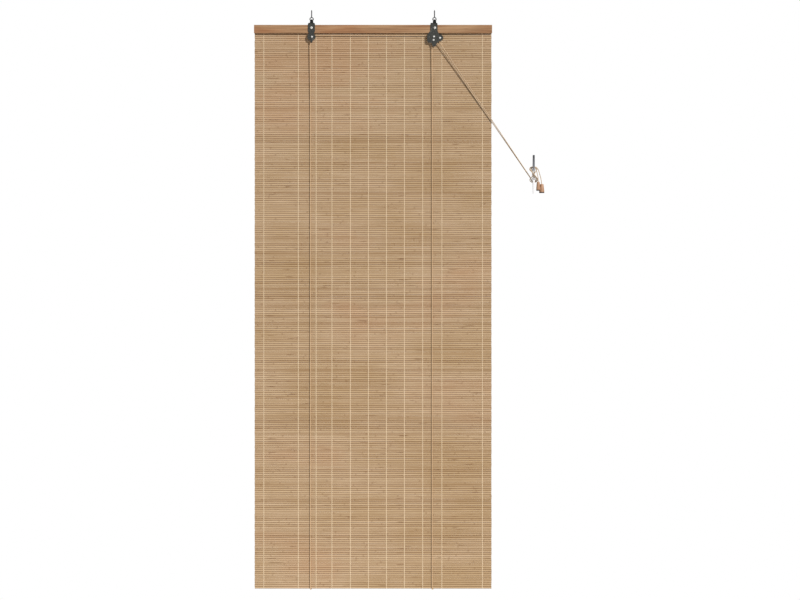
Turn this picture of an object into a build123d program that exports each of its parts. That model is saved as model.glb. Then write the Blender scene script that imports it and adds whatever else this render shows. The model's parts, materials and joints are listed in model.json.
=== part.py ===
from build123d import *
import math
import os

os.makedirs("parts", exist_ok=True)

# Frame: the origin is on the ceiling, midway between the two screw eyes. X runs along the
# blind, -Y faces the room, Z is up. Every size is in millimetres.

# mat and rails
mat_width = 800.0
mat_drop = 1900.0  # from the top of the head rail to the lower edge of the mat
mat_thick = 2.0
rail_width = 802.0
rail_height = 27.6
rail_thick = 8.0
rail_top = -28.0
mat_tuck = 2.0  # the mat starts this far below the top of the rail
batten_width = 780.0
batten_height = 20.0
batten_thick = 4.0
batten_lift = 1.0

# how the mat rolls up: flat bands, each turned by the same angle about the one before it
band_count = 29
band_turn = 72.0
band_gap = 0.3
core_radius = 17.7  # from the middle of the roll to the innermost band
turn_pitch = 5.5  # spacing of the turns: mat, lift cord and air
batten_room = 4.5  # extra spacing outside the innermost turn, for the batten
cord_room = 6.0  # extra spacing at the hanging mat, for the cords in front of it

# screw eyes
eye_spacing = 414.0
eye_drop = 8.5  # from the ceiling down to the middle of the ring
ring_radius = 5.6
ring_wire = 3.2
shank_radius = 1.9
shank_length = 22.5
shank_point = 4.0
shank_tip = 0.5

# steel brackets, one sheet thickness throughout
steel = 1.2
cheek_thick = 1.0
plate_gap = 5.4  # room for a pulley between front plate and cheek
strap_top = -21.3
neck_width = 6.0  # where it passes through the ring
collar_width = 11.5
collar_top = -15.2
hook_play = 0.05  # between the hook and the ring that it hangs in
hook_tip = -17.0
left_bracket_x = -207.5
left_strap_width = 24.0
left_disc_radius = 13.5
left_cheek_radius = 10.5
left_tab_drop = 19.5
left_tab_width = 7.0
left_tab_tip = 5.0
lock_lobe_radius = 10.9  # the round lobes of the lock's plates, over its cam
lock_back_radius = 10.0
screw_height = -38.0
screw_radius = 2.0
screw_head_radius = 4.2
screw_head = 2.2
screw_length = 6.6
hole_play = 0.1
recess_span = 4.4  # the cross recess
recess_slot = 0.9
recess_depth = 1.2

# cords and pulleys
cord_diameter = 2.5
pulley_width = 4.6
left_groove = 4.5
left_flange = 6.3
guide_groove = 3.5
guide_flange = 4.7
axle_radius = 1.5
axle_play = 0.05
rivet_head = 1.0
rivet_head_radius = 3.1
rivet_tail = 0.6
rivet_tail_radius = 2.6
cord_play = 0.3
run_height = -62.25  # the cord that crosses from the left pulley to the lock
left_fall_x = -211.75
right_fall_x = 198.75
guide_step = 11.6  # the lower guide pulley is this far below the upper one
upper_guide_x = 205.3
fall_offset = 4.0  # the cord behind the mat hangs this far to the right of the one in front
front_air = 1.0  # clearances of the lift cords at the lower edge and behind the mat
batten_air = 0.4
back_air = 0.3
under_air = 1.5

# cam of the cord lock
cam_x = 225.6
cam_height = -71.8
cam_radius = 5.3
cam_throw = 2.6  # from its axle to its middle
cam_width = 4.4
cam_teeth = 18
cam_rest = 273.5
tooth_depth = 0.5

# wall cleat with two horns
wall_y = 16.0
cleat_x = 541.0
cleat_z = -532.0
cleat_length = 132.0
cleat_front = -8.0
horn_width = 8.0
horn_depth = 6.0
horn_tip_width = 6.8
horn_tip_depth = 4.2
block_width = 9.0
block_length = 42.0
cleat_screw_spacing = 18.0
cleat_screw_radius = 1.7
cleat_shank_radius = 1.9  # the plain part of the screw, inside the cleat
cleat_screw_head = 3.2
cleat_screw_length = 24.0
cleat_screw_point = 4.0
cleat_recess = 2.6
cleat_head_sunk = 0.4

# wooden cord ends
bell_height = 30.0
left_bell_radius = 7.0
right_bell_radius = 9.0
bell_play = 0.25  # between the cord and the hole in its bell
bell_wall = 1.8
bell_hollow = 17.0
knot_radius = 3.0

# staples
staple_count = 5
staple_crown = 10.0
staple_wire = 1.0
staple_leg = 5.0
staple_play = 0.02
staple_margin = 0.4  # spare room at the ends of the row, in spacings
cord_staple_height = -46.0
cord_staple_drop = 4.0  # from the cord's end down to the staple

# worked out from the sizes above
cord_radius = cord_diameter / 2
bell_hole = cord_radius + bell_play
mat_front = rail_thick / 2
mat_back = mat_front + mat_thick
mat_bottom = rail_top - mat_drop
rail_bottom = rail_top - rail_height
plate_back = -rail_thick / 2
plate_front = plate_back - steel
cheek_front = plate_back + plate_gap
cheek_back = cheek_front + cheek_thick
pulley_y = plate_back + plate_gap / 2
left_bend = left_groove + cord_radius + cord_play
guide_bend = guide_groove + cord_radius + cord_play
left_pulley = (left_fall_x + left_bend, run_height - left_bend)
upper_guide = (upper_guide_x, run_height - guide_bend)
lower_guide = (right_fall_x + guide_bend, upper_guide[1] - guide_step)
batten_back = mat_back + batten_thick
ring_inside = ring_radius - ring_wire / 2
ring_floor = -eye_drop - math.sqrt(ring_inside**2 - (neck_width / 2) ** 2)  # at the hook's corners
hook_height = ring_floor + hook_play + steel


def save(name, *solids):
    export_step(solids[0] if len(solids) == 1 else Compound(children=list(solids)), f"parts/{name}.step")


def plate(outline, y_front, y_back):
    """A flat piece of the given outline in X and Z, between two places in Y."""
    face = Plane.XZ * outline
    return Pos(0, y_back, 0) * extrude(face, y_back - y_front)


def rod(x, z, radius, y_front, y_back):
    """A round bar along Y."""
    return plate(Pos(x, z) * Circle(radius), y_front, y_back)


def box(x_low, x_high, y_low, y_high, z_low, z_high):
    middle = ((x_low + x_high) / 2, (y_low + y_high) / 2, (z_low + z_high) / 2)
    return Pos(*middle) * Box(x_high - x_low, y_high - y_low, z_high - z_low)


def turned(profile):
    """A closed profile of (radius, height) points turned about Z."""
    return revolve(Plane.XZ * make_face(Polyline(*profile, close=True)), Axis.Z)


def corner_radii(points, wrapped):
    """The radius at each corner of a cord: that of what it goes round, or as large as its runs allow."""
    radii = []
    for i in range(1, len(points) - 1):
        before = Vector(points[i]) - Vector(points[i - 1])
        after = Vector(points[i + 1]) - Vector(points[i])
        half_turn = math.radians(before.get_angle(after) / 2)
        widest = 0.45 * min(before.length, after.length) / math.tan(half_turn)
        radii.append(wrapped.get(i, widest))
    return radii


def cord(name, points, wrapped):
    """A round cord along straight runs joined by tangent arcs."""
    radii = corner_radii(points, wrapped)
    path = FilletPolyline(*points, radius=radii)
    start = Plane(origin=points[0], z_dir=Vector(points[1]) - Vector(points[0]))
    tube = sweep(start * Circle(cord_radius), path=path)
    share = tube.volume / (math.pi * cord_radius**2 * path.length)
    print(name, "length", round(path.length, 1), "volume", round(share, 4))
    save(name, tube)


# ---------- mat ----------


def roll_distances():
    """How far each band lies from the middle of the roll, from the innermost one to the hanging mat."""
    steps = [core_radius + turn_pitch * band_turn / 360 * j for j in range(-1, band_count + 1)]
    roomy = [d + (batten_room if j >= 4 else 0) for j, d in enumerate(steps, -1)]
    roomy[-1] += cord_room
    return roomy


def band_lengths():
    """The length of each band, from the innermost one out: a side of the rolled-up outline."""
    turn = math.radians(band_turn)
    d = roll_distances()
    lengths = []
    for j in range(1, band_count + 1):
        lengths.append((d[j - 1] + d[j + 1] - 2 * d[j] * math.cos(turn)) / math.sin(turn))
    return lengths


lengths = band_lengths()
hinge_heights = [mat_bottom + sum(lengths[:j]) for j in range(band_count, 0, -1)]
print("hinge heights", [round(z, 3) for z in hinge_heights])


def staple_holes(x, z, across, depth, play):
    """The two legs of a staple, with the given play all round."""
    half = staple_wire / 2 + play
    legs = []
    for side in (-1, 1):
        middle_x = x + side * across / 2
        legs.append(box(middle_x - half, middle_x + half, depth, mat_back, z - half, z + half))
    return legs


staple_depth = mat_front - staple_leg
staple_z = rail_top - rail_height / 2
staple_step = rail_width / (staple_count + staple_margin)
staple_xs = [staple_step * (k - (staple_count - 1) / 2) for k in range(staple_count)]


def mat_piece(z_low, z_high):
    return box(-mat_width / 2, mat_width / 2, mat_front, mat_back, z_low, z_high)


mat_top = mat_piece(hinge_heights[0] + band_gap / 2, rail_top - mat_tuck)
for x in staple_xs:
    for leg in staple_holes(x, staple_z, staple_crown, staple_depth, staple_play):
        mat_top -= leg
save("mat_top", mat_top)

for i, z_high in enumerate(hinge_heights):
    z_low = hinge_heights[i + 1] + band_gap / 2 if i + 1 < band_count else mat_bottom
    save(f"mat_band_{i + 1:02d}", mat_piece(z_low, z_high - band_gap / 2))

batten_low = mat_bottom + batten_lift
half_batten = batten_width / 2
batten = box(-half_batten, half_batten, mat_back, batten_back, batten_low, batten_low + batten_height)
save("bottom_batten", fillet(batten.edges().filter_by(Axis.X).group_by(Axis.Y)[-1], 1.0))

# ---------- head rail and its fastenings ----------

rail = box(-rail_width / 2, rail_width / 2, -rail_thick / 2, rail_thick / 2, rail_bottom, rail_top)
rail = fillet(rail.edges().filter_by(Axis.X).group_by(Axis.Y)[0], 0.8)
for x in staple_xs:
    for leg in staple_holes(x, staple_z, staple_crown, staple_depth, staple_play):
        rail -= leg
screw_xs = (left_bracket_x, upper_guide_x + 3.0)
for x in screw_xs:
    hole_end = plate_front + screw_length + staple_play
    rail -= rod(x, screw_height, screw_radius + staple_play, plate_back, hole_end)
save("head_rail", rail)

staples = []
for x in staple_xs:
    half = staple_crown / 2 + staple_wire / 2
    low = staple_z - staple_wire / 2
    crown = box(x - half, x + half, mat_back, mat_back + staple_wire, low, low + staple_wire)
    staples.append(crown + staple_holes(x, staple_z, staple_crown, staple_depth + staple_play, 0))
save("mat_staples", *staples)

# ---------- screw eyes ----------


def screw_eye(x):
    """A wire ring, a neck up to the ceiling and a straight shank with a point above it."""
    ring = Pos(x, 0, -eye_drop) * Rot(90, 0, 0) * Torus(ring_radius, ring_wire / 2)
    foot = ring_radius - eye_drop
    base = shank_length - shank_point
    profile = [(0, foot), (ring_wire / 2, foot), (shank_radius, 0), (shank_radius, base)]
    profile += [(shank_tip, shank_length), (0, shank_length)]
    return ring + Pos(x, 0, 0) * turned(profile)


save("left_screw_eye", screw_eye(-eye_spacing / 2))
save("right_screw_eye", screw_eye(eye_spacing / 2))

# ---------- brackets ----------


def hook(x):
    """The collar and neck of a bracket, bent back through the ring of its screw eye."""
    half = collar_width / 2
    collar = box(x - half, x + half, plate_front, plate_back, strap_top - 1.0, collar_top)
    low, high = x - neck_width / 2, x + neck_width / 2
    neck = collar + box(low, high, plate_front, plate_back, collar_top, hook_height)
    over = box(low, high, plate_front, mat_front, hook_height - steel, hook_height)
    down = box(low, high, mat_front - steel, mat_front, hook_tip, hook_height)
    return neck + over + down


def left_bracket_outline():
    """A strap with clipped corners over a disc with a narrow tab below it."""
    x, disc_z = left_bracket_x, left_pulley[1]
    half, corner = left_strap_width / 2, 3.0
    strap = make_face(
        Polyline(
            (x - half + corner, strap_top),
            (x + half - corner, strap_top),
            (x + half, strap_top - corner),
            (x + half, rail_bottom + 2 * corner),
            (x + half - corner, rail_bottom),
            (x + half - corner, disc_z),
            (x - half + corner, disc_z),
            (x - half + corner, rail_bottom),
            (x - half, rail_bottom + 2 * corner),
            (x - half, strap_top - corner),
            close=True,
        )
    )
    tab = make_face(
        Polyline(
            (x - left_tab_width / 2, disc_z),
            (x + left_tab_width / 2, disc_z),
            (x + left_tab_width / 2, disc_z - left_disc_radius),
            (x + left_tab_tip / 2, disc_z - left_tab_drop),
            (x - left_tab_tip / 2, disc_z - left_tab_drop),
            (x - left_tab_width / 2, disc_z - left_disc_radius),
            close=True,
        )
    )
    return strap + Pos(x, disc_z) * Circle(left_disc_radius) + tab


left_outline = left_bracket_outline()
left_plate = plate(left_outline, plate_front, plate_back) + hook(-eye_spacing / 2)
left_plate -= rod(left_bracket_x, screw_height, screw_radius + hole_play, plate_front, plate_back)
left_plate -= rod(*left_pulley, axle_radius, plate_front, plate_back)
save("left_bracket", left_plate)

left_cheek = rod(*left_pulley, left_cheek_radius, cheek_front, cheek_back)
save("left_bracket_cheek", left_cheek - rod(*left_pulley, axle_radius, cheek_front, cheek_back))

lock_outline = make_face(
    Polyline(
        (195.5, strap_top),
        (193.0, strap_top - 2.5),
        (193.0, -47.5),
        (184.0, -60.5),
        (182.3, -66.0),
        (182.3, -82.5),
        (186.0, -87.0),
        (196.8, -88.6),
        (199.5, -98.0),
        (202.5, -100.7),
        (209.0, -100.7),
        (212.0, -98.0),
        (214.2, -89.4),
        (221.0, -85.6),
        (cam_x, -78.0),
        (cam_x, -64.0),
        (221.5, -57.0),
        (217.2, -48.0),
        (217.2, strap_top - 2.5),
        (214.7, strap_top),
        close=True,
    )
)
lock_outline = fillet(lock_outline.vertices(), 1.2) + Pos(cam_x, cam_height) * Circle(lock_lobe_radius)
axles = (upper_guide, lower_guide, (cam_x, cam_height))
lock_front = plate(lock_outline, plate_front, plate_back) + hook(eye_spacing / 2)
lock_front -= rod(screw_xs[1], screw_height, screw_radius + hole_play, plate_front, plate_back)
for axle in axles:
    lock_front -= rod(*axle, axle_radius, plate_front, plate_back)
save("lock_front_plate", lock_front)

back_outline = make_face(
    Polyline(
        (186.0, rail_bottom - 0.9),
        (186.0, -80.0),
        (190.0, -83.5),
        (214.0, -83.5),
        (cam_x, -76.0),
        (cam_x, -66.0),
        (220.0, rail_bottom - 0.9),
        close=True,
    )
)
back_outline = fillet(back_outline.vertices(), 1.2) + Pos(cam_x, cam_height) * Circle(lock_back_radius)
lock_back = plate(back_outline, cheek_front, cheek_back)
for axle in axles:
    lock_back -= rod(*axle, axle_radius, cheek_front, cheek_back)
save("lock_back_plate", lock_back)


def rivet(x, z):
    """An axle through both plates, with a domed head outside each."""
    shaft = rod(x, z, axle_radius, plate_front, cheek_back)
    front = rod(x, z, rivet_head_radius, plate_front - rivet_head, plate_front)
    back = rod(x, z, rivet_tail_radius, cheek_back, cheek_back + rivet_tail)
    front = fillet(front.edges().sort_by(Axis.Y)[0], rivet_head * 0.7)
    return shaft + front + back


save("left_pulley_rivet", rivet(*left_pulley))
save("lock_rivets", *[rivet(*axle) for axle in axles])


def bracket_screw(x):
    """A round-headed wood screw with a cross recess."""
    shank = rod(x, screw_height, screw_radius, plate_front, plate_front + screw_length)
    head = rod(x, screw_height, screw_head_radius, plate_front - screw_head, plate_front)
    head = fillet(head.edges().sort_by(Axis.Y)[0], screw_head * 0.75)
    recess = Box(recess_span, 2 * recess_depth, recess_slot) + Box(recess_slot, 2 * recess_depth, recess_span)
    return shank + head - Pos(x, plate_front - screw_head, screw_height) * recess


save("bracket_screws", *[bracket_screw(x) for x in screw_xs])

# ---------- pulleys and cam ----------


def pulley(center, groove, flange):
    """A grooved wheel on an axis along Y."""
    half, lip, floor = pulley_width / 2, pulley_width / 2 - 0.6, 0.9
    bore = axle_radius + axle_play
    profile = [(bore, -half), (flange, -half), (flange, -lip), (groove, -floor)]
    profile += [(groove, floor), (flange, lip), (flange, half), (bore, half)]
    return Pos(center[0], pulley_y, center[1]) * Rot(90, 0, 0) * turned(profile)


save("left_pulley", pulley(left_pulley, left_groove, left_flange))
save("upper_guide_pulley", pulley(upper_guide, guide_groove, guide_flange))
save("lower_guide_pulley", pulley(lower_guide, guide_groove, guide_flange))

throw = math.radians(cam_rest)
cam_middle = (cam_x + cam_throw * math.cos(throw), cam_height + cam_throw * math.sin(throw))
cam_y = (pulley_y - cam_width / 2, pulley_y + cam_width / 2)
cam = rod(*cam_middle, cam_radius, *cam_y)
for k in range(cam_teeth):
    around = 2 * math.pi * k / cam_teeth
    notch = (cam_middle[0] + cam_radius * math.cos(around), cam_middle[1] + cam_radius * math.sin(around))
    cam -= rod(*notch, tooth_depth, *cam_y)
save("lock_cam", cam - rod(cam_x, cam_height, axle_radius + axle_play, *cam_y))

# ---------- cords held by the blind ----------


def tangent_corner(center, bend, target):
    """Where a level cord over a pulley would meet the line on which it leaves for the target,
    and the point where it leaves."""
    dx, dz = target[0] - center[0], target[1] - center[1]
    leave = math.atan2(dz, dx) + math.acos(bend / math.hypot(dx, dz))
    middle = (leave + math.pi / 2) / 2
    reach = bend / math.cos((math.pi / 2 - leave) / 2)
    corner = (center[0] + reach * math.cos(middle), center[1] + reach * math.sin(middle))
    off = (center[0] + bend * math.cos(leave), center[1] + bend * math.sin(leave))
    return corner, off


front_bottom_y = mat_front - cord_radius - front_air
back_bottom_y = batten_back + cord_radius + batten_air
back_top_y = mat_back + cord_radius + back_air
under = mat_bottom - cord_radius - under_air
wrap_radius = 4.2

# where each pull cord first meets the cleat, and the height at which it comes out of the lock
left_goal = (532.0, 1.5, -545.0)
right_goal = (531.5, 4.7, -545.0)
exit_height = -100.0


def exit_point(center, goal):
    """The corner over a guide pulley, and the point on the line to the cleat at the exit height."""
    corner, off = tangent_corner(center, guide_bend, (goal[0], goal[2]))
    share = (off[1] - exit_height) / (off[1] - goal[2])
    leaving = (off[0] + share * (goal[0] - off[0]), pulley_y + share * (goal[1] - pulley_y), exit_height)
    return (corner[0], pulley_y, corner[1]), leaving


left_corner, left_exit = exit_point(upper_guide, left_goal)
right_corner, right_exit = exit_point(lower_guide, right_goal)
print("exits", [round(v, 2) for v in left_exit], [round(v, 2) for v in right_exit])


def behind_and_under(fall_x):
    """From the staple behind the rail, down behind the mat and under its lower edge."""
    return [
        (fall_x + fall_offset, back_top_y, cord_staple_height),
        (fall_x + fall_offset, back_bottom_y, under),
        (fall_x, front_bottom_y, under),
    ]


left_lift = behind_and_under(left_fall_x)
left_lift += [(left_fall_x, pulley_y, run_height), left_corner, left_exit]
cord("left_lift_cord", left_lift, {1: wrap_radius, 2: wrap_radius, 3: left_bend, 4: guide_bend})

right_lift = behind_and_under(right_fall_x)
right_lift += [(right_fall_x, pulley_y, lower_guide[1] + guide_bend), right_corner, right_exit]
tight = guide_bend * 0.99
cord("right_lift_cord", right_lift, {1: wrap_radius, 2: wrap_radius, 3: tight, 4: tight})

# ---------- pull cords ----------

left_pull = [
    left_exit,
    left_goal,
    (536.5, 1.4, -557.0),
    (545.5, 1.2, -557.0),
    (549.2, -3.0, -548.5),
    (547.0, -10.0, -540.5),
    (535.0, -10.0, -523.5),
    (532.8, -3.0, -515.5),
    (536.5, 1.2, -507.0),
    (545.5, 1.2, -507.0),
    (549.4, -2.5, -515.0),
    (552.2, -8.0, -526.0),
    (555.0, -11.6, -539.5),
    (556.0, -12.0, -553.0),
    (556.0, -12.0, -570.0),
]
cord("left_pull_cord", left_pull, {})

right_pull = [
    right_exit,
    right_goal,
    (536.0, 4.7, -557.4),
    (546.0, 4.7, -557.4),
    (553.0, -1.2, -549.5),
    (549.2, -13.4, -542.4),
    (532.8, -13.4, -521.6),
    (529.0, -1.6, -514.5),
    (536.0, 4.7, -506.4),
    (546.0, 4.7, -506.4),
    (553.6, 2.4, -513.5),
    (549.4, -16.4, -520.5),
    (532.6, -16.4, -543.0),
    (526.4, -1.4, -550.5),
    (535.0, 8.2, -558.6),
    (546.0, 8.2, -558.6),
    (556.4, 0.4, -551.5),
    (550.4, -19.4, -542.0),
    (531.6, -19.4, -522.4),
    (525.4, -1.0, -513.0),
    (535.0, 8.2, -505.0),
    (547.0, 8.0, -505.0),
    (556.0, 6.2, -512.0),
    (560.6, 3.4, -526.0),
    (564.6, 1.9, -541.0),
    (568.4, 1.5, -557.0),
    (568.4, 1.5, -577.0),
]
cord("right_pull_cord", right_pull, {})

# ---------- staples that hold the upper cord ends ----------

cord_staples = []
for fall_x in (left_fall_x, right_fall_x):
    x = fall_x + fall_offset
    half = cord_radius + 2 * hole_play
    outer = half + staple_wire
    crown_y = back_top_y + cord_radius + hole_play
    z_high = cord_staple_height - cord_staple_drop
    z_low = z_high - staple_wire
    crown = box(x - outer, x + outer, crown_y, crown_y + staple_wire, z_low, z_high)
    left_leg = box(x - outer, x - half, mat_back, crown_y, z_low, z_high)
    right_leg = box(x + half, x + outer, mat_back, crown_y, z_low, z_high)
    cord_staples.append(crown + left_leg + right_leg)
save("cord_staples", *cord_staples)

# ---------- wooden cord ends with their knots ----------


def bell(radius):
    """A turned wooden bell: a rounded shoulder, a flaring skirt and a hollow with the knot in it."""
    profile = [
        (bell_hole, 0),
        (radius * 0.52, 0),
        (radius * 0.66, -0.8),
        (radius * 0.72, -2.4),
        (radius * 0.80, -9.0),
        (radius * 0.92, -19.0),
        (radius, -bell_height + 1.4),
        (radius * 0.95, -bell_height),
        (radius - bell_wall, -bell_height),
        (radius - bell_wall, -bell_height + 5.0),
        (knot_radius + 0.3, -bell_height + bell_hollow),
        (bell_hole, -bell_height + bell_hollow),
    ]
    return turned(profile)


def knot(top):
    """A tight round knot, flat where it bears on the end of the cord."""
    ball = Sphere(knot_radius)
    return Pos(top[0], top[1], top[2] - knot_radius * 0.8) * split(
        ball, bisect_by=Plane.XY.offset(knot_radius * 0.8), keep=Keep.BOTTOM
    )


bell_rise = bell_height - bell_hollow  # from the end of the cord up to the top of its bell
left_end, right_end = left_pull[-1], right_pull[-1]
save("left_cord_bell", Pos(left_end[0], left_end[1], left_end[2] + bell_rise) * bell(left_bell_radius))
save("right_cord_bell", Pos(right_end[0], right_end[1], right_end[2] + bell_rise) * bell(right_bell_radius))
save("cord_end_knots", knot(left_end), knot(right_end))

# ---------- wall cleat ----------

block = box(
    cleat_x - block_width / 2,
    cleat_x + block_width / 2,
    cleat_front,
    wall_y,
    cleat_z - block_length / 2,
    cleat_z + block_length / 2,
)
block = fillet(block.edges().filter_by(Axis.Y), 3.0)


def horn(side):
    """A horn of the cleat, tapering and rising a little towards its rounded tip."""
    near_z = cleat_z + side * block_length * 0.3
    far_z = cleat_z + side * (cleat_length / 2 - 1.0)
    near = Plane(origin=(cleat_x, cleat_front + horn_depth / 2, near_z), z_dir=(0, 0, side))
    far = Plane(origin=(cleat_x, cleat_front - 1.0, far_z), z_dir=(0, 0, side))
    thick = RectangleRounded(horn_width, horn_depth, 0.4 * horn_depth)
    thin = RectangleRounded(horn_tip_width, horn_tip_depth, 0.4 * horn_tip_depth)
    return loft([near * thick, far * thin])


cleat = block + horn(1) + horn(-1)
cleat_screw_zs = (cleat_z - cleat_screw_spacing / 2, cleat_z + cleat_screw_spacing / 2)
for z in cleat_screw_zs:
    cleat -= rod(cleat_x, z, cleat_shank_radius + hole_play, cleat_front, wall_y)
    cleat -= rod(cleat_x, z, cleat_screw_head + hole_play, cleat_front, cleat_front + cleat_recess)
save("wall_cleat", cleat)


def cleat_screw(z):
    """A screw with its head sunk into the cleat and its thread in the wall."""
    end = wall_y + cleat_screw_length
    top = cleat_front + cleat_head_sunk
    head = rod(cleat_x, z, cleat_screw_head, top, cleat_front + cleat_recess)
    plain = rod(cleat_x, z, cleat_shank_radius, cleat_front + cleat_recess, wall_y)
    thread = rod(cleat_x, z, cleat_screw_radius, wall_y, end - cleat_screw_point)
    point = Cone(
        cleat_screw_radius, shank_tip, cleat_screw_point, align=(Align.CENTER, Align.CENTER, Align.MIN)
    )
    point = Pos(cleat_x, end - cleat_screw_point, z) * Rot(-90, 0, 0) * point
    cross = Box(3.6, 1.6, 0.8) + Box(0.8, 1.6, 3.6)
    return head + plain + thread + point - Pos(cleat_x, top, z) * cross


save("cleat_screws", *[cleat_screw(z) for z in cleat_screw_zs])
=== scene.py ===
import bpy
import bmesh
import json
import math
import random
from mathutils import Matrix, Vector

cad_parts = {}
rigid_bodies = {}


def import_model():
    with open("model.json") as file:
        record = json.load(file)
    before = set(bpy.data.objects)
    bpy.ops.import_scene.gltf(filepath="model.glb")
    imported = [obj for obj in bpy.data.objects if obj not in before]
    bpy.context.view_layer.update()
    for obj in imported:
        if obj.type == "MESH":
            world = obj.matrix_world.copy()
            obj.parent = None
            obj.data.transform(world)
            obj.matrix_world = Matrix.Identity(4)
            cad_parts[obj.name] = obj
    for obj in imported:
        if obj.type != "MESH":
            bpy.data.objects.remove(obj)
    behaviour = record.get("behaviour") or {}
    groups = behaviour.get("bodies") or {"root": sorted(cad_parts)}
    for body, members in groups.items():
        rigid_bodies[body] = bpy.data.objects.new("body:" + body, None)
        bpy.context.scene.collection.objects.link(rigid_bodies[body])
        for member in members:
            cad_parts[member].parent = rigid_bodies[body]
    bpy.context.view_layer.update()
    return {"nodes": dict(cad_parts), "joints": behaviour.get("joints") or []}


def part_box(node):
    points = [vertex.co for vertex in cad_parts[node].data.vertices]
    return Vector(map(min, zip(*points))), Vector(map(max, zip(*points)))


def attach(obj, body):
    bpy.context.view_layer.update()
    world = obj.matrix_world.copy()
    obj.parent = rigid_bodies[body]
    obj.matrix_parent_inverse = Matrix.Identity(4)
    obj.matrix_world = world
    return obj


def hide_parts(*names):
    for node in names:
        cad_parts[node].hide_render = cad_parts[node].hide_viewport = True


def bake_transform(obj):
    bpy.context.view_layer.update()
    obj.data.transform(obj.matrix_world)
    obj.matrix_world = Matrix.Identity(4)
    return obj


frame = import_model()
nodes = frame["nodes"]
mm = 0.001
print("frame loaded:", len(nodes), "nodes")


# finishes

white = (1, 1, 1)
black = (0, 0, 0)
features = {  # lengths in metres, sharpness per metre
    "knotShift": 7.3,  # moves the knots along a slat by its tone
    "knotsPerMetre": 3.2,
    "rimShadeSharpness": 240.0,
    "hookShadeHeight": -0.0245,
    "hookShadeSharpness": 300.0,
    "threadPitch": 0.0018,
    "threadFrom": 0.002,
    "cleatShadeMiddle": -0.532,
    "cleatShadeFade": 9.0,
}


def shade(red, green, blue):  # display values 0-255 to linear colour
    def linear(value):
        value /= 255
        return value / 12.92 if value <= 0.04045 else ((value + 0.055) / 1.055) ** 2.4
    return (linear(red), linear(green), linear(blue), 1.0)


class Finish:  # a material and what chains its nodes

    def __init__(self, name, roughness=0.6, metallic=0.0, specular=0.4):
        self.material = bpy.data.materials.new(name)
        self.material.use_nodes = True
        tree = self.material.node_tree
        self.nodes, self.links = tree.nodes, tree.links
        self.shader = self.nodes["Principled BSDF"]
        self.shader.inputs["Roughness"].default_value = roughness
        self.shader.inputs["Metallic"].default_value = metallic
        self.shader.inputs["Specular IOR Level"].default_value = specular
        self.coords = self.nodes.new("ShaderNodeTexCoord")

    def feed(self, value, socket):
        if isinstance(value, bpy.types.NodeSocket):
            self.links.new(value, socket)
        elif value is not None:
            socket.default_value = value

    def place(self, scale, source="Object", turn=(0, 0, 0)):
        node = self.nodes.new("ShaderNodeMapping")
        node.inputs["Scale"].default_value = scale
        node.inputs["Rotation"].default_value = turn
        self.links.new(self.coords.outputs[source], node.inputs["Vector"])
        return node.outputs["Vector"]

    def noise(self, vector, scale=1.0, detail=2.0, rough=0.5, distortion=0.0):
        node = self.nodes.new("ShaderNodeTexNoise")
        node.inputs["Scale"].default_value = scale
        node.inputs["Detail"].default_value = detail
        node.inputs["Roughness"].default_value = rough
        node.inputs["Distortion"].default_value = distortion
        self.links.new(vector, node.inputs["Vector"])
        return node.outputs["Fac"]

    def ramp(self, value, stops):
        node = self.nodes.new("ShaderNodeValToRGB")
        band = node.color_ramp
        while len(band.elements) < len(stops):
            band.elements.new(0.5)
        for element, (at, colour) in zip(band.elements, stops):
            element.position = at
            element.color = colour if len(colour) == 4 else (*colour, 1.0)
        self.links.new(value, node.inputs["Fac"])
        return node.outputs["Color"]

    def mix(self, a, b, amount, how="MIX"):
        node = self.nodes.new("ShaderNodeMix")
        node.data_type = "RGBA"
        node.blend_type = how
        self.feed(amount, node.inputs["Factor"])
        self.feed(a, node.inputs["A"])
        self.feed(b, node.inputs["B"])
        return node.outputs[2]

    def calc(self, a, b=0.0, how="ADD"):
        node = self.nodes.new("ShaderNodeMath")
        node.operation = how
        self.feed(a, node.inputs[0])
        self.feed(b, node.inputs[1])
        return node.outputs[0]

    def times(self, a, b):
        return self.calc(a, b, "MULTIPLY")

    def mask(self, value, low, high):
        return self.ramp(value, [(low, black), (high, white)])

    def parts(self, source="Object"):
        node = self.nodes.new("ShaderNodeSeparateXYZ")
        self.links.new(self.coords.outputs[source], node.inputs[0])
        return node.outputs[0], node.outputs[1], node.outputs[2]

    def attribute(self, name):
        node = self.nodes.new("ShaderNodeAttribute")
        node.attribute_name = name
        return node.outputs["Fac"]

    def colour(self, value):
        self.feed(value, self.shader.inputs["Base Color"])

    def rough(self, value, low, high):
        node = self.nodes.new("ShaderNodeMapRange")
        node.inputs["To Min"].default_value = low
        node.inputs["To Max"].default_value = high
        self.links.new(value, node.inputs["Value"])
        self.links.new(node.outputs["Result"], self.shader.inputs["Roughness"])

    def bump(self, height, strength, distance):
        node = self.nodes.new("ShaderNodeBump")
        node.inputs["Strength"].default_value = strength
        node.inputs["Distance"].default_value = distance
        self.links.new(height, node.inputs["Height"])
        self.links.new(node.outputs["Normal"], self.shader.inputs["Normal"])


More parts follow.
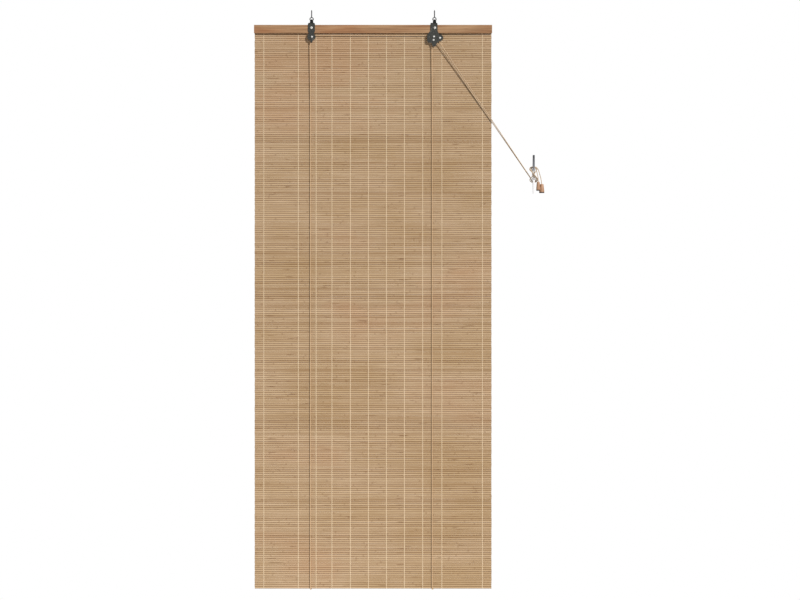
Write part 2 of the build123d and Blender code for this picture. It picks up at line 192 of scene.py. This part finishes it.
def splitBamboo(top, pitch):  # slats hang below the given height, a pitch apart
    f = Finish("splitBamboo", 0.75, specular=0.15)
    tone = f.attribute("tone")
    fibre = f.noise(f.place((14, 500, 900)), detail=4, rough=0.65)
    patch = f.noise(f.place((2.2, 40, 5.5)), detail=3, rough=0.6)
    streak = f.noise(f.place((16, 60, 260)), detail=2, rough=0.4)
    base = f.ramp(fibre, [
        (0.25, shade(172, 145, 114)), (0.55, shade(193, 167, 136)), (0.8, shade(208, 183, 152)),
    ])
    warm = f.ramp(patch, [(0.35, shade(238, 232, 216)), (0.55, white), (0.7, shade(252, 240, 234))])
    toned = f.mix(base, warm, 0.7, "MULTIPLY")
    slat = f.ramp(tone, [(0, shade(228, 221, 213)), (0.2, shade(244, 241, 237)), (1, white)])
    toned = f.mix(toned, slat, 1.0, "MULTIPLY")
    x, _, z = f.parts()
    below = f.calc(f.calc(top, z, "SUBTRACT"), pitch, "DIVIDE")
    fromMiddle = f.calc(f.calc(f.calc(below, how="FRACT"), 0.5, "SUBTRACT"), how="ABSOLUTE")
    # painted shade: the colour darkens towards each slat's top and bottom edge, in the grooves between slats
    slatGapShade = f.ramp(fromMiddle, [(0.26, white), (0.4, shade(222, 212, 200)), (0.5, shade(140, 116, 92))])
    toned = f.mix(toned, slatGapShade, 1.0, "MULTIPLY")
    shifted = f.calc(x, f.times(tone, features["knotShift"]))
    knotAt = f.calc(f.times(shifted, features["knotsPerMetre"]), how="FRACT")
    knots = f.ramp(knotAt, [(0.488, black), (0.497, white), (0.503, white), (0.512, black)])
    marks = f.mask(streak, 0.68, 0.75)
    toned = f.mix(toned, shade(128, 96, 66), f.times(knots, 0.35))
    f.colour(f.mix(toned, shade(118, 86, 56), f.times(marks, 0.7)))
    f.rough(fibre, 0.62, 0.82)
    f.bump(f.calc(fibre, f.times(knots, 0.5)), 0.3, 0.0003)
    return f.material


def warpCotton():
    f = Finish("warpCotton", 0.9, specular=0.15)
    fuzz = f.noise(f.place((900, 900, 500)), detail=3)
    f.colour(f.ramp(fuzz, [(0.3, shade(204, 180, 148)), (0.7, shade(232, 209, 176))]))
    f.shader.inputs["Sheen Weight"].default_value = 0.2
    f.bump(fuzz, 0.4, 0.0002)
    return f.material


def railWood():
    f = Finish("railWood", 0.45, specular=0.35)
    grain = f.noise(f.place((5, 90, 240)), detail=6, rough=0.66, distortion=0.5)
    patch = f.noise(f.place((4.6, 20, 30)), detail=2)
    fleck = f.noise(f.place((30, 200, 900)), detail=2)
    base = f.ramp(grain, [
        (0.28, shade(116, 82, 56)), (0.48, shade(163, 126, 92)), (0.75, shade(190, 156, 119)),
    ])
    red = f.ramp(patch, [(0.42, white), (0.66, shade(238, 218, 206))])
    toned = f.mix(base, red, 1.0, "MULTIPLY")
    flecks = f.mask(fleck, 0.62, 0.72)
    f.colour(f.mix(toned, shade(98, 64, 40), f.times(flecks, 0.5)))
    f.rough(grain, 0.36, 0.56)
    f.bump(grain, 0.2, 0.0004)
    return f.material


def bellWood(name, rimHeight):
    f = Finish(name, 0.4, specular=0.4)
    grain = f.noise(f.place((260, 260, 24)), detail=4, distortion=0.6)
    pores = f.noise(f.place((1500, 1500, 160)), detail=2)
    base = f.ramp(grain, [
        (0.3, shade(146, 106, 78)), (0.55, shade(180, 140, 110)), (0.8, shade(204, 168, 136)),
    ])
    toned = f.mix(base, shade(120, 80, 56), f.times(f.mask(pores, 0.6, 0.75), 0.5))
    _, _, z = f.parts()
    # painted shade: the colour turns almost black in a band about 4 mm tall along the bell's bottom edge
    above = f.times(f.calc(z, rimHeight, "SUBTRACT"), features["rimShadeSharpness"])
    rimShade = f.ramp(above, [(0.55, white), (1.0, black)])
    f.colour(f.mix(toned, shade(46, 32, 24), f.times(rimShade, 0.92)))
    f.rough(grain, 0.34, 0.5)
    f.bump(grain, 0.15, 0.0003)
    return f.material


def cordCotton(name, turns, strands=3, pale=shade(192, 160, 124), grooveShade=shade(156, 122, 90)):
    f = Finish(name, 0.85, specular=0.15)
    u, v, _ = f.parts("UV")
    phase = f.calc(f.times(u, turns), f.times(v, float(strands)))
    wave = f.calc(f.times(phase, 2 * math.pi), how="SINE")
    lay = f.calc(f.times(wave, 0.5), 0.5)
    fuzz = f.noise(f.place((1400, 1400, 1400)), detail=2)
    height = f.calc(lay, f.times(fuzz, 0.25))
    # painted shade and painted sheen: the colour follows the lay's relief, darker in the grooves of the twist
    # and lighter on its crests
    f.colour(f.ramp(height, [(0.05, grooveShade), (0.45, pale), (1.0, shade(222, 193, 156))]))
    f.shader.inputs["Sheen Weight"].default_value = 0.1
    f.bump(height, 0.6, 0.0003)
    return f.material


def darkSteel():
    f = Finish("blackenedSteel", 0.5, metallic=0.75, specular=0.5)
    pits = f.noise(f.place((620, 620, 620)), detail=3, rough=0.6)
    wear = f.noise(f.place((140, 140, 90)), detail=4)
    base = f.ramp(pits, [(0.3, shade(46, 47, 46)), (0.6, shade(82, 83, 80)), (0.85, shade(124, 124, 118))])
    rubbed = f.mask(wear, 0.6, 0.74)
    worn = f.mix(base, shade(140, 138, 130), f.times(rubbed, 0.4))
    _, _, z = f.parts()
    # painted shade: the steel darkens to near black towards the top, on the bent hook part
    nearHook = f.times(f.calc(z, -features["hookShadeHeight"]), features["hookShadeSharpness"])
    hookShade = f.mask(nearHook, 0.0, 1.0)
    f.colour(f.mix(worn, shade(24, 26, 27), f.times(hookShade, 0.85)))
    f.rough(pits, 0.42, 0.62)
    f.bump(pits, 0.35, 0.0004)
    return f.material


def eyeSteel():
    f = Finish("eyeSteel", 0.45, metallic=0.7, specular=0.5)
    _, _, z = f.parts()
    turn = f.calc(f.times(z, 2 * math.pi / features["threadPitch"]), how="SINE")
    inWood = f.calc(z, features["threadFrom"], "GREATER_THAN")
    thread = f.times(f.times(turn, inWood), 0.5)
    fine = f.noise(f.place((700, 700, 700)), detail=3)
    height = f.calc(thread, f.times(fine, 0.3))
    # painted shade: the colour follows the thread's relief, darker in its grooves
    f.colour(f.ramp(height, [
        (0.0, shade(66, 66, 68)), (0.3, shade(104, 104, 106)), (0.6, shade(136, 137, 139)),
    ]))
    f.rough(fine, 0.36, 0.52)
    f.bump(height, 0.8, 0.0005)
    return f.material


def plainMetal(name, low, high, roughLow, roughHigh, metallic=1.0):
    f = Finish(name, 0.3, metallic=metallic, specular=0.5)
    fine = f.noise(f.place((900, 900, 300)), detail=3)
    f.colour(f.ramp(fine, [(0.3, low), (0.7, high)]))
    f.rough(fine, roughLow, roughHigh)
    f.bump(fine, 0.1, 0.0001)
    return f.material


def nylon():
    f = Finish("guideNylon", 0.4, specular=0.4)
    fine = f.noise(f.place((400, 400, 400)), detail=2)
    f.colour(f.ramp(fine, [(0.3, shade(206, 203, 194)), (0.7, shade(226, 224, 216))]))
    f.rough(fine, 0.34, 0.46)
    f.bump(fine, 0.06, 0.0002)
    return f.material


def cleatNylon():
    f = Finish("cleatNylon", 0.32, specular=0.5)
    _, _, z = f.parts()
    # painted shade and painted reflection: near white on the lower horn, darkening to grey and a dark tip
    # towards the top horn
    upperHornShade = f.times(f.calc(z, -features["cleatShadeMiddle"]), features["cleatShadeFade"])
    fine = f.noise(f.place((300, 300, 300)), detail=3)
    height = f.calc(f.calc(upperHornShade, 0.35), f.times(fine, 0.2))
    f.colour(f.ramp(height, [
        (0.42, shade(234, 234, 236)), (0.62, shade(122, 124, 129)),
        (0.85, shade(100, 102, 108)), (1.0, shade(70, 72, 76)),
    ]))
    f.rough(fine, 0.26, 0.4)
    f.bump(fine, 0.08, 0.0002)
    return f.material


finishes = {
    "warp": warpCotton(),
    "rail": railWood(),
    "leftBell": bellWood("leftBellWood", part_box("left_cord_bell")[0][2]),
    "rightBell": bellWood("rightBellWood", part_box("right_cord_bell")[0][2]),
    "steel": darkSteel(),
    # painted highlight: rivets and screws get a near-white, half-metallic colour so that they look as bright as
    # their highlights
    "paintedHighlight": plainMetal("polishedSteelPaintedHighlight", shade(226, 226, 222), shade(246, 246, 243), 0.3, 0.45, metallic=0.45),
    "zinc": plainMetal("zincSteel", shade(98, 98, 100), shade(140, 141, 143), 0.34, 0.5),
    "eye": eyeSteel(),
    "nylon": nylon(),
    "cleat": cleatNylon(),
}

nodeFinish = {
    "rail": ("head_rail", "bottom_batten"),
    "steel": ("left_bracket", "left_bracket_cheek", "lock_front_plate", "lock_back_plate"),
    "paintedHighlight": ("left_pulley_rivet", "bracket_screws", "lock_rivets", "cleat_screws"),
    "eye": ("left_screw_eye", "right_screw_eye"),
    "zinc": ("mat_staples", "cord_staples", "lock_cam"),
    "nylon": ("left_pulley", "upper_guide_pulley", "lower_guide_pulley"),
    "leftBell": ("left_cord_bell",),
    "rightBell": ("right_cord_bell",),
    "cleat": ("wall_cleat",),
    "warp": ("cord_end_knots",),
}
for finishName, nodeNames in nodeFinish.items():
    for nodeName in nodeNames:
        nodes[nodeName].data.materials.clear()
        nodes[nodeName].data.materials.append(finishes[finishName])
print("finishes made")


# hinges of the mat

hinges = [j for j in frame["joints"] if j["name"].startswith("roll_")]
hingeHeights = [j["pos_m"][2] for j in hinges]
bodyChain = [hinges[0]["parent"]] + [j["child"] for j in hinges]
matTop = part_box("mat_top")[1][2]
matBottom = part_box(bodyChain[-1])[0][2]


def bendWith(piece):  # bakes the piece's placement into its mesh; the piece is not joined to any hinge
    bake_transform(piece)


def placed(name, data):
    piece = bpy.data.objects.new(name, data)
    bpy.context.scene.collection.objects.link(piece)
    return piece


def joined(name, meshes, body=None):
    whole = bmesh.new()
    for mesh in meshes:
        whole.from_mesh(mesh)
    data = bpy.data.meshes.new(name)
    whole.to_mesh(data)
    whole.free()
    piece = placed(name, data)
    if body:
        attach(piece, body)
    return piece


# woven mat

mat = {
    "pitch": 7.197 * mm,
    "gap": 0.02 * mm,
    "slatFront": 4.4 * mm,
    "slatBack": 5.7 * mm,
    "edgeRound": 0.62 * mm,
    "spans": 6,
    "halfWidth": 399.6 * mm,
    "endJitter": 0.9 * mm,
    "waviness": 0.07 * mm,
    "waves": (1.2, 3.4),
    "wavePhase": 6.28,
    "bowShare": (0.3, 1.0),
    "rippleRate": 4.1,
    "heightJitter": 0.06 * mm,
    "longEdge": 0.5,
    "darkSlats": 0.1,
    "darkTone": 0.2,
    "warpAt": [-369.8, -253.5, -193.5, -140.0, -77.6, -17.0, 43.8, 104.4, 165.9, 230.6, 367.4],
    "warpWidth": 2.3 * mm,
    "warpThick": 0.5 * mm,
    "warpSway": 0.3 * mm,
    "warpLift": 0.2 * mm,
    "warpReach": 0.46,
    "warpFlat": 0.8,
    "seed": 11,
}
chance = random.Random(mat["seed"])


def slatMesh(top):  # one split slat, lightly bowed, with its own tone
    bm = bmesh.new()
    bmesh.ops.create_cube(bm, size=1)
    left = -mat["halfWidth"] + chance.uniform(0, mat["endJitter"])
    right = mat["halfWidth"] - chance.uniform(0, mat["endJitter"])
    height = mat["pitch"] - mat["gap"] - chance.uniform(0, mat["heightJitter"])
    thick = mat["slatBack"] - mat["slatFront"]
    bmesh.ops.scale(bm, verts=bm.verts, vec=(right - left, thick, height))
    middle = ((left + right) / 2, (mat["slatFront"] + mat["slatBack"]) / 2, top - mat["pitch"] / 2)
    bmesh.ops.translate(bm, verts=bm.verts, vec=middle)

    def longEdges():
        return [e for e in bm.edges if e.calc_length() > mat["longEdge"]]
    bmesh.ops.bevel(bm, geom=longEdges(), offset=mat["edgeRound"],
                    affect="EDGES", segments=1, profile=0.5, material=-1)
    bmesh.ops.subdivide_edges(bm, edges=longEdges(), cuts=mat["spans"] - 1)
    waves = chance.uniform(*mat["waves"])
    start = chance.uniform(0, mat["wavePhase"])
    bow = chance.uniform(*mat["bowShare"]) * mat["waviness"]
    tone = bm.verts.layers.float.new("tone")
    shadeOf = chance.random() if chance.random() > mat["darkSlats"] else chance.uniform(0, mat["darkTone"])
    for v in bm.verts:
        v[tone] = shadeOf
        v.co.z += bow * math.sin(waves * 2 * math.pi * v.co.x + start)
        v.co.y += 0.5 * bow * math.sin(waves * mat["rippleRate"] * v.co.x + 2 * start)
    mesh = bpy.data.meshes.new("slat")
    bm.to_mesh(mesh)
    bm.free()
    return mesh


def warpStrand(at, first, count, side):  # passes before one slat and behind the next
    points = []
    front, back = mat["slatFront"] - mat["warpLift"], mat["slatBack"] + mat["warpLift"]
    reach = mat["warpReach"] * mat["pitch"]
    for i in range(first, first + count):
        top = matTop - i * mat["pitch"]
        before = (i + side) % 2 == 0
        y, sway = (front, mat["warpSway"]) if before else (back, -mat["warpSway"])
        middle = top - mat["pitch"] / 2
        points.append((at, (front + back) / 2, top))
        points.append((at + sway, y, middle + reach * mat["warpFlat"]))
        points.append((at + sway, y, middle - reach * mat["warpFlat"]))
    points.append((at, (front + back) / 2, matTop - (first + count) * mat["pitch"]))
    return points


def lineOf(name, runs, radius, ring, order, smooth):
    line = bpy.data.curves.new(name, "CURVE")
    line.dimensions = "3D"
    line.bevel_depth = radius
    line.bevel_resolution = ring
    line.resolution_u = smooth
    line.use_fill_caps = True
    for points in runs:
        spline = line.splines.new("NURBS" if order > 2 else "POLY")
        spline.points.add(len(points) - 1)
        for control, point in zip(spline.points, points):
            control.co = (*point, 1)
        if order > 2:
            spline.order_u = order
            spline.use_endpoint_u = True
    return line


def tubeMesh(runs, radius, ring, order=2, smooth=1):
    line = lineOf("line", runs, radius, ring, order, smooth)
    carrier = placed("line", line)
    view = bpy.context.evaluated_depsgraph_get()
    mesh = bpy.data.meshes.new_from_object(carrier.evaluated_get(view))
    bpy.data.objects.remove(carrier)
    bpy.data.curves.remove(line)
    return mesh


slatCount = round((matTop - matBottom) / mat["pitch"])
mat["pitch"] = (matTop - matBottom) / slatCount
finishes["bamboo"] = splitBamboo(matTop, mat["pitch"])


def slatsOf(k):  # first slat and number of slats that belong to hinge k's piece
    def cut(height):
        return round((matTop - height) / mat["pitch"])
    first = 0 if k == 0 else cut((hingeHeights[k - 1] + hingeHeights[k]) / 2)
    last = slatCount if k + 1 == len(hinges) else cut((hingeHeights[k] + hingeHeights[k + 1]) / 2)
    return first, last - first


warpRadius = mat["warpThick"] / 2
for k in range(len(hinges)):
    first, count = slatsOf(k)
    bm = bmesh.new()
    tone = bm.verts.layers.float.new("tone")
    for i in range(first, first + count):
        slat = slatMesh(matTop - i * mat["pitch"])
        bm.from_mesh(slat)
        bpy.data.meshes.remove(slat)
    slatFaces = len(bm.faces)
    for at in mat["warpAt"]:
        strands = tubeMesh([warpStrand(at * mm, first, count, side) for side in (0, 1)], warpRadius, 1)
        known = len(bm.verts)
        bm.from_mesh(strands)
        bm.verts.ensure_lookup_table()
        for v in bm.verts[known:]:
            v.co.x = at * mm + (v.co.x - at * mm) * mat["warpWidth"] / mat["warpThick"]
            v[tone] = 0.5
    bm.faces.ensure_lookup_table()
    for face in bm.faces[slatFaces:]:
        face.material_index = 1
        face.smooth = True
    bmesh.ops.recalc_face_normals(bm, faces=bm.faces)
    data = bpy.data.meshes.new(f"woven_mat_{k + 1:02d}")
    bm.to_mesh(data)
    bm.free()
    data.materials.append(finishes["bamboo"])
    data.materials.append(finishes["warp"])
    piece = placed(data.name, data)
    bendWith(piece)
    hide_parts(bodyChain[k + 1], *(["mat_top"] if k == 0 else []))
print("mat woven:", slatCount, "slats")


# lift cords

lift = {
    "radius": 1.25 * mm,
    "lay": 3.6 * mm,
    "leftFall": -211.75 * mm,
    "rightFall": 198.75 * mm,
    "behind": 4.0 * mm,  # the run behind the mat is this far to the right of the front one
    "frontY": 2.35 * mm,
    "backY": 7.7 * mm,
    "battenY": 11.65 * mm,
    "under": -1930.75 * mm,
    "easeTop": -1.868,  # between these heights the run behind eases out round the batten
    "easeEnd": -1.903,
    "wrapRise": 9 * mm,
    "wrapBack": 3.8 * mm,
    "wrapFront": 0.2 * mm,
    "wrapY": 1.75 * mm,
    "stapleY": 7.55 * mm,
    "stapleZ": -46 * mm,
    "splitTop": -330.0 * mm,
    "step": 2.4 * mm,
}
liftFinish = cordCotton("liftCordCotton", 1.0)


def backAt(z):  # how far behind the mat the cord hangs at height z
    share = min(max((lift["easeTop"] - z) / (lift["easeTop"] - lift["easeEnd"]), 0), 1)
    return lift["backY"] + (lift["battenY"] - lift["backY"]) * share * share * (3 - 2 * share)


def laidTube(runs, smooth, order=3):  # tubes whose UV counts the lays of the twist
    meshes = []
    for points in runs:
        mesh = tubeMesh([points], lift["radius"], 2, order, smooth)
        length = sum((Vector(a) - Vector(b)).length for a, b in zip(points, points[1:]))
        for corner in mesh.uv_layers[0].data:
            corner.uv.x *= length / lift["lay"]
        meshes.append(mesh)
    return meshes


def steps(high, low):
    count = max(2, round((high - low) / lift["step"]))
    return [high + (low - high) * i / count for i in range(count + 1)]


def finishCord(piece):
    piece.data.materials.append(liftFinish)
    for polygon in piece.data.polygons:
        polygon.use_smooth = True


sides = {"left": lift["leftFall"], "right": lift["rightFall"]}
splits = [lift["splitTop"]] + [(a + b) / 2 for a, b in zip(hingeHeights, hingeHeights[1:])]
for k in range(len(hinges)):
    runs = []
    lowest = k + 1 == len(hinges)
    for x in sides.values():
        high = splits[k]
        if lowest:
            levels = steps(high, lift["under"] + lift["wrapRise"])
            wrap = [(x + lift["behind"], backAt(z), z) for z in levels]
            wrap.append((x + lift["wrapBack"], lift["battenY"], lift["under"]))
            wrap.append((x + lift["wrapFront"], lift["wrapY"], lift["under"]))
            wrap += [(x, lift["frontY"], z) for z in reversed(levels)]
            runs.append(wrap)
        else:
            levels = steps(high, splits[k + 1])
            runs.append([(x, lift["frontY"], z) for z in levels])
            runs.append([(x + lift["behind"], backAt(z), z) for z in levels])
    smooth, order = (3, 3) if lowest else (1, 2)
    piece = joined(f"lift_cords_{k + 1:02d}", laidTube(runs, smooth, order))
    finishCord(piece)
    bendWith(piece)

# millimetres, from where the bending stops to the way out of the lock
exits = {"left": (233.33, -1.09, -100.0), "right": (224.49, -0.99, -100.0)}
topRuns = {
    "left": [
        (-211.75, 2.35, -330.0), (-211.75, 2.1, -300.0), (-211.75, -1.0, -110.0), (-211.75, -1.3, -76.0),
        (-211.75, -1.3, -62.25), (-198.0, -1.3, -62.25), (190.0, -1.3, -62.25), (196.0, -1.3, -62.25),
        (208.83, -1.3, -62.25), exits["left"],
    ],
    "right": [
        (198.75, 2.35, -330.0), (198.75, 2.1, -300.0), (198.75, -1.0, -110.0), (198.75, -1.3, -90.0),
        (198.75, -1.3, -73.8), (205.7, -1.3, -73.8), exits["right"],
    ],
}
for side, x in sides.items():
    front = [tuple(v * mm for v in point) for point in topRuns[side]]
    behind = x + lift["behind"]
    back = [(behind, lift["stapleY"], lift["stapleZ"]), (behind, lift["backY"], lift["splitTop"])]
    piece = joined(f"lift_cord_top_{side}", laidTube([front, back], 8), "blind")
    finishCord(piece)
    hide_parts(f"{side}_lift_cord")
print("lift cords laid")


# pull cords

pull = {
    "diameter": 2.5 * mm,
    "lay": 3.6 * mm,
    "ring": 3,
    "smooth": 10,
    # the first colour is the cord's own; the second is painted shade for the grooves of the twist
    "pale": shade(172, 154, 132),
    "grooveShade": shade(134, 116, 96),
    "leftLength": 691.0 * mm,
    "rightLength": 927.6 * mm,
    "left": [
        exits["left"], (525.0, 1.4, -533.7), (532.0, 1.5, -545.0), (536.5, 1.4, -557.0), (545.5, 1.2, -557.0),
        (549.2, -3.0, -548.5), (547.0, -10.0, -540.5), (535.0, -10.0, -523.5), (532.8, -3.0, -515.5),
        (536.5, 1.2, -507.0), (545.5, 1.2, -507.0), (549.4, -2.5, -515.0), (552.2, -8.0, -526.0),
        (555.0, -11.6, -539.5), (556.0, -12.0, -553.0), (556.0, -12.0, -570.0),
    ],
    "right": [
        exits["right"], (523.6, 4.5, -533.6), (531.5, 4.7, -545.0), (536.0, 4.7, -557.4), (546.0, 4.7, -557.4),
        (553.0, -1.2, -549.5), (549.2, -13.4, -542.4), (532.8, -13.4, -521.6), (529.0, -1.6, -514.5),
        (536.0, 4.7, -506.4), (546.0, 4.7, -506.4), (553.6, 2.4, -513.5), (549.4, -16.4, -520.5),
        (532.6, -16.4, -543.0), (526.4, -1.4, -550.5), (535.0, 8.2, -558.6), (546.0, 8.2, -558.6),
        (556.4, 0.4, -551.5), (550.4, -19.4, -542.0), (531.6, -19.4, -522.4), (525.4, -1.0, -513.0),
        (535.0, 8.2, -505.0), (547.0, 8.0, -505.0), (556.0, 6.2, -512.0), (560.6, 3.4, -526.0),
        (564.6, 1.9, -541.0), (568.4, 1.5, -557.0), (568.4, 1.5, -577.0),
    ],
}
for side in ("left", "right"):
    length = pull[side + "Length"]
    points = [tuple(v * mm for v in point) for point in pull[side]]
    line = lineOf(f"pull_cord_{side}", [points], pull["diameter"] / 2, pull["ring"], 3, pull["smooth"])
    lays = length / pull["lay"]
    line.materials.append(cordCotton(f"{side}PullCotton", lays, pale=pull["pale"], grooveShade=pull["grooveShade"]))
    cordPiece = placed(line.name, line)
    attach(cordPiece, "blind")
    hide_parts(f"{side}_pull_cord")
print("pull cords laid")


# camera, light and floor

stage = {
    "aim": (0.0908, 0.0, -0.9548),
    "distance": 8.0,
    "viewWidth": 2.696,
    "sensorWidth": 36,
    "floorHeight": -2.4,
    "floorRadius": 3.0,
    "floorSides": 96,
    "keyDirection": (0.95, -1.0, 0.8),
    "keyStrength": 3.6,
    "keySpread": 5.0,
    "fillDirection": (-0.7, 1.0, 0.6),
    "fillStrength": 1.3,
    "fillSpread": 25.0,
    "ambient": 0.34,
    "skyTint": (1.0, 0.955, 0.9, 1.0),
}

cameraData = bpy.data.cameras.new("camera")
camera = placed("camera", cameraData)
cameraData.sensor_width = stage["sensorWidth"]
cameraData.lens = stage["sensorWidth"] * stage["distance"] / stage["viewWidth"]
camera.location = Vector(stage["aim"]) + Vector((0, -stage["distance"], 0))
camera.rotation_euler = (math.pi / 2, 0, 0)
bpy.context.scene.camera = camera

bm = bmesh.new()
bmesh.ops.create_circle(bm, cap_ends=True, segments=stage["floorSides"], radius=stage["floorRadius"])
bmesh.ops.translate(bm, verts=bm.verts, vec=(0, 0, stage["floorHeight"]))
floorData = bpy.data.meshes.new("floor")
bm.to_mesh(floorData)
bm.free()
floor = placed("floor", floorData)
floorFinish = Finish("paleFloor", 0.8, specular=0.2)
floorFinish.colour(shade(240, 240, 238))
floorData.materials.append(floorFinish.material)

for lamp in ("key", "fill"):  # the fill lights the back
    lampData = bpy.data.lights.new(lamp, "SUN")
    lampData.energy = stage[lamp + "Strength"]
    lampData.angle = math.radians(stage[lamp + "Spread"])
    lampPiece = placed(lamp, lampData)
    lampPiece.rotation_euler = Vector(stage[lamp + "Direction"]).to_track_quat("Z", "Y").to_euler()

world = bpy.data.worlds.new("studio")
bpy.context.scene.world = world
world.use_nodes = True
sky = world.node_tree.nodes["Background"]
sky.inputs["Color"].default_value = stage["skyTint"]
sky.inputs["Strength"].default_value = stage["ambient"]
seen = world.node_tree.nodes.new("ShaderNodeBackground")
seen.inputs["Color"].default_value = (1, 1, 1, 1)
seen.inputs["Strength"].default_value = 1.0
ray = world.node_tree.nodes.new("ShaderNodeLightPath")
blendSky = world.node_tree.nodes.new("ShaderNodeMixShader")
worldOut = world.node_tree.nodes["World Output"]
for source, socket in (
    (ray.outputs["Is Camera Ray"], blendSky.inputs[0]),
    (sky.outputs[0], blendSky.inputs[1]),
    (seen.outputs[0], blendSky.inputs[2]),
    (blendSky.outputs[0], worldOut.inputs["Surface"]),
):
    world.node_tree.links.new(source, socket)
bpy.context.scene.view_settings.view_transform = "Standard"
bpy.context.scene.view_settings.look = "None"

bpy.context.view_layer.update()
